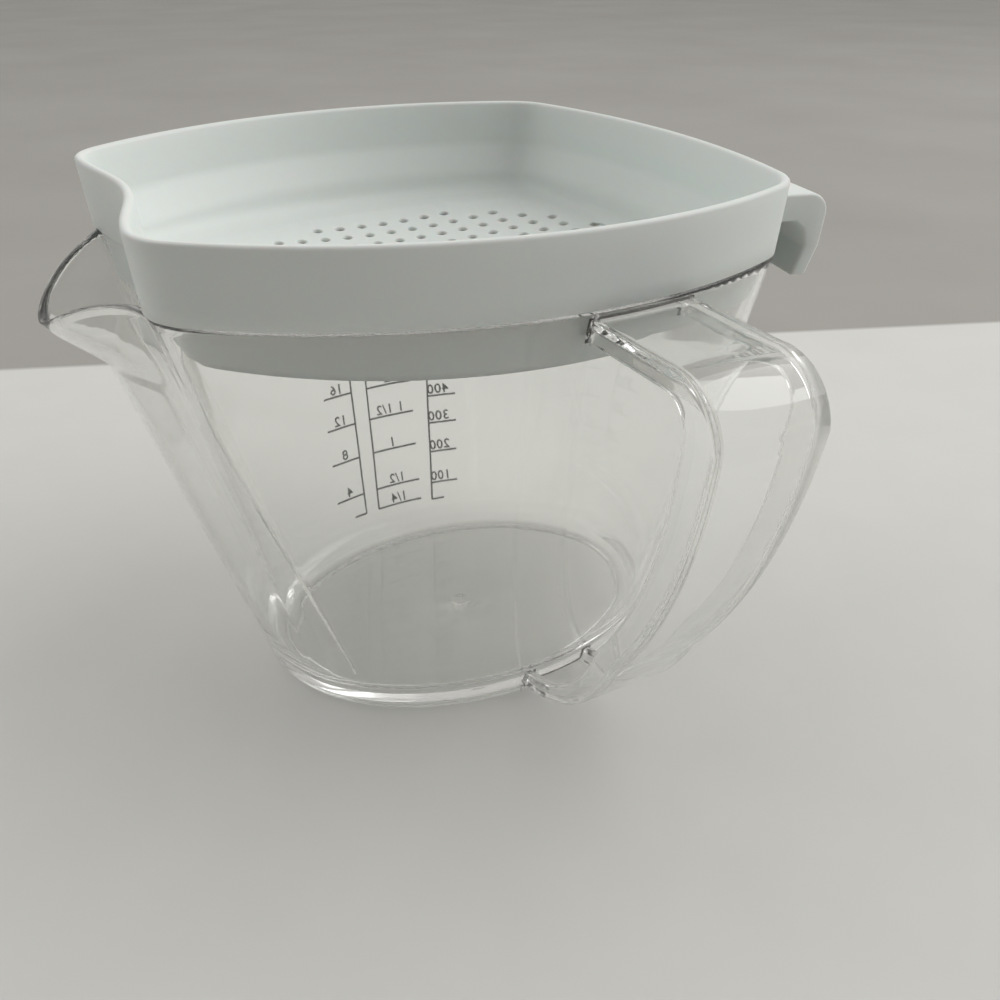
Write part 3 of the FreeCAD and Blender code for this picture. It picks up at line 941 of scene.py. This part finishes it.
print("100, 200, 400 and 1000 ml stand at", [round(height_of(v), 1) for v in (100, 200, 400, 1000)], "mm")

# %% Columns, lines and numbers, laid out flat
INK_WIDTH, TEXT_SIZE, TEXT_WEIGHT, LETTER_SPACE = 0.6, 4.5, 0.07, 1.1
COLUMN_FOOT_Z = 12
INK_STEP = 2               # mm between the points of a line, so that it can wrap round the wall


def column_x(foot_x, lean):
    """The x of a leaning column, as a function of the height."""
    return lambda z: foot_x + lean * (z - COLUMN_FOOT_Z)


ml_x, cup_x, ounce_x = column_x(11.4, 0.095), column_x(-9.1, 0.045), column_x(-14.0, 0.024)


def flat_line(bm, x0, z0, x1, z1):
    """A narrow strip from one point to another."""
    along = Vector((x1 - x0, 0, z1 - z0))
    across = Vector((-along.z, 0, along.x)).normalized() * (INK_WIDTH / 2)
    count = max(2, round(along.length / INK_STEP))
    for vertex in bmesh.ops.create_grid(bm, x_segments=count, y_segments=1, size=1.0)["verts"]:
        u, v = vertex.co.x, vertex.co.y
        vertex.co = Vector((x0, 0, z0)) + along * (u + 1) / 2 + across * v


def flat_number(bm, text, x, z):
    """A number with its middle at x, which reads from outside the wall, so it runs towards -X."""
    curve = bpy.data.curves.new("number", "FONT")
    curve.body, curve.size, curve.offset = text, TEXT_SIZE, TEXT_WEIGHT
    curve.space_character = LETTER_SPACE
    holder = bpy.data.objects.new("number", curve)
    mesh = bpy.data.meshes.new_from_object(holder)
    width = max(v.co.x for v in mesh.vertices)
    mesh.transform(Matrix(((-1, 0, 0, x + width / 2), (0, 0, 0, 0), (0, 1, 0, z), (0, 0, 0, 1))))
    bm.from_mesh(mesh)
    bpy.data.objects.remove(holder)
    bpy.data.curves.remove(curve)
    bpy.data.meshes.remove(mesh)


print("the ml column stands at x =", ml_x(COLUMN_FOOT_Z), "mm at its foot")

# %% One column and one mark
CUP_ML, OUNCE_ML = 236.6, 29.57
ML_TICK, CUP_TICK, OUNCE_TICK, SHORT_TICK = 9.5, 16.5, 10.5, 4.5
NUMBER_LIFT, ML_SHIFT = 0.8, -1.0
CUP_MARKS = (("1/4", 0.25), ("1/2", 0.5), ("1", 1), ("1 1/2", 1.5), ("2", 2),
             ("2 1/2", 2.5), ("3", 3), ("3 1/2", 3.5), ("4", 4))


def column(bm, x_at, lowest, highest, tick):
    """The upright line of one scale, with a tick at its foot if it has one."""
    low, high = height_of(lowest), height_of(highest)
    flat_line(bm, x_at(low), low, x_at(high), high)
    if tick:
        flat_line(bm, x_at(low), low, x_at(low) + tick, low)


def mark(bm, x_at, text, volume, tick, shift=0.0):
    """One tick and its number, which stands over the middle of the tick or a shift from it."""
    z = height_of(volume)
    x = x_at(z)
    flat_line(bm, x, z, x + tick, z)
    flat_number(bm, text, x + tick / 2 + shift, z + NUMBER_LIFT)


print("the cups run up to", round(CUP_ML * CUP_MARKS[-1][1]), "ml")

# %% Build the scales
INK_THICKNESS, INK_LIFT, MERGE_DISTANCE = 0.06, 0.02, 0.01


def build_scales():
    bm = bmesh.new()
    column(bm, ml_x, 50, 1000, SHORT_TICK)
    for volume in range(100, 1001, 100):
        mark(bm, ml_x, str(volume), volume, ML_TICK, ML_SHIFT)
    column(bm, cup_x, CUP_ML / 4, CUP_ML * 4, 0)
    for text, cups in CUP_MARKS:
        mark(bm, cup_x, text, CUP_ML * cups, CUP_TICK)
    column(bm, ounce_x, 2 * OUNCE_ML, 32 * OUNCE_ML, -SHORT_TICK)
    for ounces in range(4, 33, 4):
        mark(bm, ounce_x, str(ounces), ounces * OUNCE_ML, -OUNCE_TICK)
    bmesh.ops.remove_doubles(bm, verts=bm.verts[:], dist=MERGE_DISTANCE)
    for vertex in bm.verts:
        vertex.co.y = wall_y(vertex.co.x, vertex.co.z) + INK_LIFT
    made = bmesh.ops.extrude_face_region(bm, geom=bm.faces[:], use_keep_orig=True)["geom"]
    raised = [part for part in made if isinstance(part, bmesh.types.BMVert)]
    bmesh.ops.translate(bm, vec=(0, INK_THICKNESS, 0), verts=raised)
    return finish_piece(bm, "scale_print", "jug", "clear_plastic", smooth=False)


scales = build_scales()

# %% [markdown]
# ## The glued joints
#
# Where the handle is bonded to the jug, the adhesive shows as a thin line round each end
# of the handle, with small trapped bubbles. The line is a fine tube that follows the
# outline of the handle's end. The bubbles are tiny balls beside it, from a fixed seed, so
# that they fall in the same places each time. They are a piece of their own, because air
# in clear plastic looks different from glue.

# %% A fine tube along a path on the wall
BEAD_RADIUS, BEAD_SIDES, BEAD_STEP, BEAD_LIFT = 0.3, 8, 1.5, 0.15


def on_wall(point, out):
    """The point moved along Y to the jug's wall on the handle's side, and out from it."""
    return Vector((point.x, -(wall_y(point.x, point.z) + out), point.z))


def dense_loop(points):
    """A closed path with points no more than about a step apart."""
    loop = []
    for a, b in zip(points, points[1:] + points[:1]):
        count = max(1, round((b - a).length / BEAD_STEP))
        loop += [a.lerp(b, i / count) for i in range(count)]
    return loop


def tube_along(bm, path, radius):
    """A closed tube round a closed path."""
    rings = []
    for i, here in enumerate(path):
        along = (path[(i + 1) % len(path)] - path[i - 1]).normalized()
        side = along.cross(Vector((0, 1, 0))).normalized()
        up = side.cross(along).normalized()
        rings.append([here + (side * math.cos(a) + up * math.sin(a)) * radius
                      for a in (math.tau * k / BEAD_SIDES for k in range(BEAD_SIDES))])
    loops = stack(bm, rings)
    bmesh.ops.bridge_loops(bm, edges=ring_edges(loops[0]) + ring_edges(loops[-1]))


print("the glue line is", 2 * BEAD_RADIUS, "mm thick")

# %% Build the glue lines and bubbles
BUBBLE_SEED, BUBBLE_POINTS, BUBBLE_CHOICES = 11, 9, (0, 1, 2, 3)
BUBBLE_SIZES, BUBBLE_SPREAD, BUBBLE_DEPTH = (0.25, 0.6), 1.2, 0.9


def add_bubbles(bm, path, chance):
    """Small round bubbles in uneven clusters along a path."""
    for point in path:
        for _ in range(chance.choice(BUBBLE_CHOICES)):
            shift = [chance.uniform(-BUBBLE_SPREAD, BUBBLE_SPREAD) for _ in range(2)]
            place = on_wall(Vector((point.x + shift[0], 0, point.z + shift[1])), BUBBLE_DEPTH)
            size = chance.uniform(*BUBBLE_SIZES)
            bmesh.ops.create_icosphere(bm, subdivisions=2, radius=size, matrix=Matrix.Translation(place))


def build_glue():
    """The adhesive round both ends of the handle, and the bubbles at their spout side."""
    line, beads, chance = bmesh.new(), bmesh.new(), random.Random(BUBBLE_SEED)
    for end in (stations[0], stations[-1]):
        loop = [on_wall(p, BEAD_LIFT) for p in dense_loop(end)]
        tube_along(line, loop, BEAD_RADIUS)
        add_bubbles(beads, sorted(loop, key=lambda p: p.x)[:BUBBLE_POINTS], chance)
    return (finish_piece(line, "glue_line", "jug", "clear_plastic"),
            finish_piece(beads, "glue_bubbles", "jug", "clear_plastic"))


glue, bubbles = build_glue()

# %% [markdown]
# ## Writing shader maths as Python
#
# A material is a graph of nodes. Small formulas make many Math nodes, so one class wraps
# an output socket and overloads the operators: `1 - mask * 0.5` then adds the nodes by
# itself. Every other node comes from one method that takes its type, its settings and the
# values or links of its sockets.

# %% A socket that works in sums
class Value:
    """A node's output that works in arithmetic."""

    def __init__(self, graph, socket):
        self.graph, self.socket = graph, socket

    def math(self, operation, first, second):
        return self.graph.node("ShaderNodeMath", {"operation": operation}, {0: first, 1: second})["Value"]

    def __add__(self, other):
        return self.math("ADD", self, other)

    def __mul__(self, other):
        return self.math("MULTIPLY", self, other)

    def __sub__(self, other):
        return self.math("SUBTRACT", self, other)

    def __rsub__(self, other):
        return self.math("SUBTRACT", other, self)

    def larger(self, other):
        return self.math("MAXIMUM", self, other)

    __radd__, __rmul__ = __add__, __mul__


print("sockets can be added, subtracted, multiplied and compared")

# %% A node tree that is built node by node
class Outputs:
    """The outputs of one node, by name or number."""

    def __init__(self, graph, node):
        self.graph, self.node = graph, node

    def __getitem__(self, name):
        return Value(self.graph, self.node.outputs[name])


class Graph:
    """A node tree under construction."""

    def __init__(self, tree):
        self.tree = tree

    def node(self, kind, settings=None, sockets=None):
        """Adds a node: its settings are set first, then its sockets get values or links."""
        node = self.tree.nodes.new(kind)
        for name, value in (settings or {}).items():
            setattr(node, name, value)
        for name, value in (sockets or {}).items():
            self.join(node.inputs[name], value)
        return Outputs(self, node)

    def join(self, socket, value):
        """Links a Value to a socket, or sets the socket to a plain number or colour."""
        if isinstance(value, Value):
            self.tree.links.new(value.socket, socket)
        else:
            socket.default_value = value


print("nodes come from Graph.node")

# %% A material with its shader
MIX_FACTOR, MIX_FIRST, MIX_SECOND, MIX_RESULT = 0, 6, 7, 2          # the colour sockets of a Mix node


class Finish(Graph):
    """A material under construction, with its Principled shader."""

    def __init__(self, name, **sockets):
        self.material = bpy.data.materials.new(name)
        self.material.use_nodes = True
        super().__init__(self.material.node_tree)
        self.shader = self.tree.nodes["Principled BSDF"]
        self.set(**sockets)
        self.place = self.node("ShaderNodeTexCoord")["Object"]

    def set(self, **sockets):
        """Joins values to the shader's sockets, with _ for each space in their names."""
        for socket, value in sockets.items():
            self.join(self.shader.inputs[socket.replace("_", " ")], value)
        return self.material

    def noise(self, scale, detail, roughness=0.5):
        return self.node("ShaderNodeTexNoise", None, {
            "Vector": self.place, "Scale": scale, "Detail": detail, "Roughness": roughness})["Fac"]

    def mix(self, factor, first, second):
        return self.node("ShaderNodeMix", {"data_type": "RGBA"}, {
            MIX_FACTOR: factor, MIX_FIRST: first, MIX_SECOND: second})[MIX_RESULT]

    def bump(self, height, distance, strength=1.0):
        return self.node("ShaderNodeBump", None, {
            "Height": height, "Distance": distance, "Strength": strength})["Normal"]

    def let_through(self, tint, kind):
        """Rays of the named kind pass straight through, tinted, and all others meet the shader."""
        chosen = self.node("ShaderNodeLightPath")[kind]
        solid = Value(self, self.shader.outputs["BSDF"])
        passing = self.node("ShaderNodeBsdfTransparent", None, {"Color": tint})["BSDF"]
        mixed = self.node("ShaderNodeMixShader", None, {0: chosen, 1: solid, 2: passing})["Shader"]
        self.join(self.tree.nodes["Material Output"].inputs["Surface"], mixed)
        return self.material


def dress(piece, material):
    piece.data.materials.clear()
    piece.data.materials.append(material)
    print(material.name, "on", piece.name)


print("a finish is laid out in the piece's own Object coordinates")

# %% Colours as they look on screen
BYTE, DARK_END, DARK_SLOPE = 255, 10, 12.92
CURVE_SHIFT, CURVE_POWER = 0.055, 2.4


def linear(*channels):
    """A colour given as it looks on screen, 0 to 255, as the linear values that nodes use."""
    return tuple((c / BYTE / DARK_SLOPE if c <= DARK_END
                  else ((c / BYTE + CURVE_SHIFT) / (1 + CURVE_SHIFT)) ** CURVE_POWER)
                 for c in channels) + (1.0,)


print("a middle grey on screen is", round(linear(128, 128, 128)[0], 3), "to a node")

# %% [markdown]
# ## Clear plastic
#
# The jug, the baffle and the handle are moulded from a clear, hard plastic with an index
# of refraction near 1.5. A perfect glass would look too clean: a moulding has streaks
# where the plastic flowed, a faint haze and fine wash marks. The streaks are a noise that
# is stretched up the wall and feeds a bump, strongest on the thick handle. Shadow rays
# pass through, because Cycles would else give clear plastic the shadow of a solid.
#
# The real baffle hardly shows, so its plastic gets a lower index than any real one has.

# %% Clear plastic finish
ACROSS, ALONG = 1000, 60          # waves in a metre, for a streak one millimetre wide
HAZE_ROUGHNESS, MARK_ROUGHNESS, MARK_DEPTH = 0.02, 0.03, 0.004
PURE_PLASTIC, SHADOW_TINT = (254, 254, 253), (252, 252, 252)


def clear_plastic(name, tint, streak_width, streak_depth, index=1.5):
    """Widths and depths in millimetres."""
    finish = Finish(name, IOR=index, Transmission_Weight=1.0)
    across, along = ACROSS / streak_width, ALONG / streak_width
    stretched = finish.node("ShaderNodeMapping", None, {
        "Vector": finish.place, "Scale": (across, across, along)})["Vector"]
    streaks = finish.node("ShaderNodeTexNoise", None, {
        "Vector": stretched, "Scale": 1.0, "Detail": 1.0})["Fac"]
    haze = finish.noise(scale=22.0, detail=1.0)
    marks = finish.noise(scale=900.0, detail=4.0, roughness=0.65)
    finish.set(Base_Color=finish.mix(haze, linear(*tint), linear(*PURE_PLASTIC)),
               Roughness=haze * HAZE_ROUGHNESS + marks * MARK_ROUGHNESS,
               Normal=finish.bump(streaks + marks * MARK_DEPTH, streak_depth * MM))
    return finish.let_through(linear(*SHADOW_TINT), "Is Shadow Ray")


dress(jug, clear_plastic("clear_wall", (248, 249, 248), 16.0, 0.1))
dress(handle, clear_plastic("clear_handle", (248, 249, 248), 14.0, 0.14))
dress(baffle, clear_plastic("clear_baffle", (250, 251, 250), 14.0, 0.1, index=1.12))

# %% [markdown]
# ## White plastic
#
# The tray is opaque white polypropylene: a satin surface with a very slight orange-peel
# texture, and a touch of light passing under the skin. A slight change of colour from
# place to place keeps the big walls from looking like paper.

# %% White plastic finish
SHADED_WHITE, BRIGHT_WHITE = (214, 219, 216), (224, 228, 225)
SKIN_DEPTH, PEEL_DEPTH = 0.002, 0.00005          # metres


def white_plastic():
    finish = Finish("white_tray", IOR=1.49, Subsurface_Weight=0.15, Subsurface_Scale=SKIN_DEPTH)
    broad, fine = finish.noise(scale=14.0, detail=2.0), finish.noise(scale=260.0, detail=3.0)
    grain = finish.noise(scale=2200.0, detail=2.0)
    return finish.set(Base_Color=finish.mix(broad, linear(*SHADED_WHITE), linear(*BRIGHT_WHITE)),
                      Roughness=0.34 + fine * 0.08 + broad * 0.05,
                      Normal=finish.bump(grain * 0.3 + fine, PEEL_DEPTH, strength=0.5))


dress(tray, white_plastic())

# %% [markdown]
# ## Ink, glue and bubbles
#
# The scale's ink is a dark film that is not quite black, a little worn where a noise thins
# it. The glue is a resin that is cloudy in places and clearer in others. The bubbles let
# light through too, with a low index, so that their rims stay pale.

# %% Ink, glue and bubble finishes
def clouded(name, index, transmission, scale, detail, colours, roughness):
    """A finish between two colours, and between a roughness and a rougher one, by one noise."""
    finish = Finish(name, IOR=index, Transmission_Weight=transmission)
    cloud = finish.noise(scale, detail)
    smoothest, rise = roughness
    return finish.set(Base_Color=finish.mix(cloud, *(linear(*colour) for colour in colours)),
                      Roughness=smoothest + cloud * rise)


dress(scales, clouded("scale_ink", 1.5, 0.0, 1500.0, 3.0, ((8, 8, 8), (24, 22, 22)), (0.45, 0.2)))
dress(glue, clouded("glue_resin", 1.5, 0.75, 500.0, 2.0,
                    ((84, 81, 78), (176, 174, 170)), (0.12, 0.2)))
dress(bubbles, clouded("bubble_skin", 1.3, 0.4, 900.0, 2.0,
                       ((226, 226, 224), (250, 250, 250)), (0.05, 0.1)))

# %% [markdown]
# ## Studio: one wide floor
#
# Nothing stands round the object, so it can be seen from every side. The floor is one
# wide sheet. Behind the jug it turns from pale to a quiet grey along a straight line, which
# gives the clear walls something to stand out against.

# %% The floor
TABLE_COLOUR, FAR_COLOUR = (205, 204, 200), (160, 157, 152)
TABLE_SHADE, FAR_SHADE = 6, 16                        # how much darker each gets in places
TABLE_Z, FLOOR_SIZE = -0.0002, 30.0
FAR_LINE, FAR_HEADING = 0.215, math.radians(-20)      # metres from the middle, and its turn
LINE_WIDTH = 0.004


def patchy(finish, noise, colour, shade):
    return finish.mix(noise, linear(*colour), linear(*(c - shade for c in colour)))


def floor_cloth():
    finish = Finish("floor_cloth", Roughness=0.8)
    turned = finish.node("ShaderNodeVectorRotate", {"rotation_type": "Z_AXIS"},
                         {"Vector": finish.place, "Angle": -FAR_HEADING})["Vector"]
    beyond = finish.node("ShaderNodeSeparateXYZ", None, {"Vector": turned})["Y"]
    far = finish.node("ShaderNodeMapRange", None, {
        "Value": beyond, "From Min": FAR_LINE, "From Max": FAR_LINE + LINE_WIDTH})["Result"]
    near = patchy(finish, finish.noise(scale=30.0, detail=4.0), TABLE_COLOUR, TABLE_SHADE)
    away = patchy(finish, finish.noise(scale=5.0, detail=3.0), FAR_COLOUR, FAR_SHADE)
    return finish.set(Base_Color=finish.mix(far, near, away))


def build_floor():
    bm = bmesh.new()
    bmesh.ops.create_grid(bm, x_segments=2, y_segments=2, size=FLOOR_SIZE / 2)
    bmesh.ops.translate(bm, vec=(0, 0, TABLE_Z), verts=bm.verts[:])
    floor = new_object(bm, "floor")
    dress(floor, floor_cloth())


build_floor()
print("the floor is", FLOOR_SIZE, "m wide")

# %% [markdown]
# ## Camera
#
# A view could be set by hand in the editor. Plain numbers for the camera's place, pitch
# and heading are easier to keep and to change one at a time. The lens is that of a phone,
# and the small shift moves the frame down without tilting the jug's upright lines.

# %% Camera
CAMERA_PLACE = (-0.1086, -0.2392, 0.1968)
CAMERA_PITCH, CAMERA_HEADING = 63.78, -27.22       # degrees from straight down, and from +Y
SENSOR_WIDTH, LENS, SHIFT_Y, CLIP_START = 36.0, 35.91, -0.0839, 0.01


def build_camera():
    data = bpy.data.cameras.new("camera")
    data.sensor_width, data.lens, data.shift_y = SENSOR_WIDTH, LENS, SHIFT_Y
    data.clip_start = CLIP_START
    camera = bpy.data.objects.new("camera", data)
    camera.location = CAMERA_PLACE
    camera.rotation_euler = (math.radians(CAMERA_PITCH), 0.0, math.radians(CAMERA_HEADING))
    bpy.context.scene.collection.objects.link(camera)
    bpy.context.scene.camera = camera


build_camera()
print("the camera looks from", CAMERA_PLACE)

# %% [markdown]
# ## Lamps
#
# A bare bulb would give hard shadows and leave half of the jug's edges unlit. A large soft
# lamp on the right and a weak one on the left add the bright edges instead, and the room
# does the rest.

# %% Lamps
LAMP_TARGET = (0, 0, 0.1)


def soft_lamp(name, place, size, watts):
    """A round lamp that faces the jug."""
    data = bpy.data.lights.new(name, "AREA")
    data.shape, data.size, data.energy = "DISK", size, watts
    lamp = bpy.data.objects.new(name, data)
    lamp.location = place
    lamp.rotation_euler = (Vector(LAMP_TARGET) - Vector(place)).to_track_quat("-Z", "Y").to_euler()
    bpy.context.scene.collection.objects.link(lamp)
    print(name, "lamp of", watts, "W")


soft_lamp("key", (1.3, -0.4, 1.5), size=2.2, watts=17.0)
soft_lamp("side", (-1.2, 0.6, 1.2), size=1.5, watts=4.0)

# %% [markdown]
# ## World
#
# The room is an even dome of light with one dim side, in front of the jug and to the left
# of the camera. That dim side gives the skirt its shade. Where the world is looked at, by
# the camera, in gloss or through the plastic, it shows one plain colour, so that no view
# has a dark sky.

# %% World
ROOM_COLOUR, ROOM_STRENGTH = (250, 250, 248), 1.14
DIM_SIDE = (-0.62, -0.75, 0.25)          # the direction of the dim side
DIM_START, DIM_END = 0.1, 0.8            # cosines of the angle from it
PLAIN_COLOUR = (196, 194, 190)
SEEN_BY = ("Is Camera Ray", "Is Glossy Ray", "Is Transmission Ray")


def build_world():
    """A dome that fades round DIM_SIDE for the light, and is plain where it is looked at."""
    world = bpy.data.worlds.new("studio")
    world.use_nodes = True
    graph = Graph(world.node_tree)
    place, path = graph.node("ShaderNodeTexCoord"), graph.node("ShaderNodeLightPath")
    facing = graph.node("ShaderNodeVectorMath", {"operation": "DOT_PRODUCT"}, {
        0: place["Generated"], 1: Vector(DIM_SIDE).normalized()})["Value"]
    level = graph.node("ShaderNodeMapRange", {"interpolation_type": "SMOOTHSTEP"}, {
        "Value": facing, "From Min": DIM_START, "From Max": DIM_END,
        "To Min": ROOM_STRENGTH, "To Max": 0.0})["Result"]
    light = world.node_tree.nodes["Background"]
    graph.join(light.inputs["Color"], linear(*ROOM_COLOUR))
    graph.join(light.inputs["Strength"], level)
    plain = graph.node("ShaderNodeBackground", None, {"Color": linear(*PLAIN_COLOUR)})["Background"]
    seen = functools.reduce(Value.larger, [path[kind] for kind in SEEN_BY])
    mixed = graph.node("ShaderNodeMixShader", None, {
        0: seen, 1: Value(graph, light.outputs["Background"]), 2: plain})["Shader"]
    graph.join(world.node_tree.nodes["World Output"].inputs["Surface"], mixed)
    bpy.context.scene.world = world


build_world()
print("the room's light has a strength of", ROOM_STRENGTH)

# %% [markdown]
# ## Bounces and colours
#
# Light bounces many times inside a thick clear edge. Stopped early, the edge turns black,
# so this scene allows more bounces than Blender does by itself. The Standard view keeps
# each colour as it is written.

# %% Bounces and colours
BOUNCES = 64
scene = bpy.context.scene
scene.view_settings.view_transform = "Standard"
scene.cycles.max_bounces = scene.cycles.transmission_bounces = BOUNCES
scene.cycles.glossy_bounces = scene.cycles.transparent_max_bounces = BOUNCES
print("up to", BOUNCES, "bounces")
